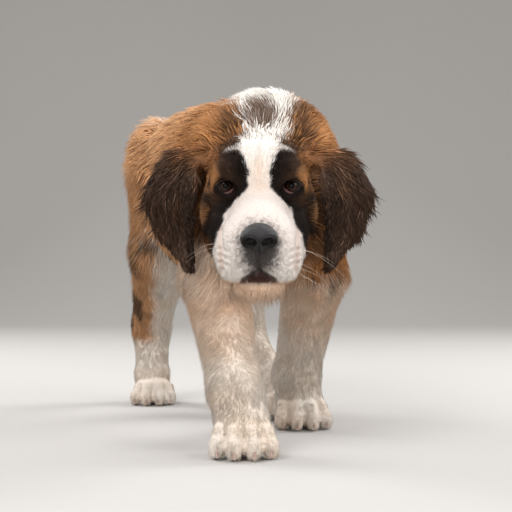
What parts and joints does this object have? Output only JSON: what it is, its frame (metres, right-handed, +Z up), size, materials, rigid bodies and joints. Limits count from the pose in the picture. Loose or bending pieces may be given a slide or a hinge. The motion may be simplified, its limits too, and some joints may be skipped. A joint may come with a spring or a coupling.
{
  "type": "saint bernard puppy figure",
  "caption": "Life-size still model of a long-coated puppy with hanging ears, walking with its head held low.",
  "frame": {"origin": "on the floor, under the middle of the whole figure's box", "axes": "+Z up, +Y towards the tail, so the puppy looks along -Y; +X to its left"},
  "size_m": [0.3062, 0.5958, 0.394],
  "materials": {
    "white_fur": "soft, dense white coat, warm on the chin and legs",
    "brown_fur": "soft, wavy orange-brown coat with dark tips",
    "dark_fur": "long, wavy dark brown hair",
    "nose_skin": "moist, finely grained black skin",
    "eye_glass": "polished, deep brown",
    "claw_horn": "satin, pinkish horn"
  },
  "bodies": {
    "root": {"claw_fore_left_1": "claw_horn", "claw_fore_left_2": "claw_horn", "claw_fore_left_3": "claw_horn", "claw_fore_left_4": "claw_horn", "claw_fore_right_1": "claw_horn", "claw_fore_right_2": "claw_horn", "claw_fore_right_3": "claw_horn", "claw_fore_right_4": "claw_horn", "claw_hind_left_1": "claw_horn", "claw_hind_left_2": "claw_horn", "claw_hind_left_3": "claw_horn", "claw_hind_left_4": "claw_horn", "claw_hind_right_1": "claw_horn", "claw_hind_right_2": "claw_horn", "claw_hind_right_3": "claw_horn", "claw_hind_right_4": "claw_horn", "ear_left": "dark_fur", "ear_right": "dark_fur", "eye_left": "eye_glass", "eye_right": "eye_glass", "forearm_fore_left": "white_fur", "forearm_fore_right": "white_fur", "head": "white_fur", "lower_jaw": "white_fur", "neck": "white_fur", "nose": "nose_skin", "paw_fore_left": "white_fur", "paw_fore_right": "white_fur", "paw_hind_left": "white_fur", "paw_hind_right": "white_fur", "shank_hind_left": "white_fur", "shank_hind_right": "white_fur", "tail": "white_fur", "thigh_hind_left": "brown_fur", "thigh_hind_right": "brown_fur", "torso": "brown_fur", "upper_arm_fore_left": "brown_fur", "upper_arm_fore_right": "brown_fur"}
  },
  "joints": []
}
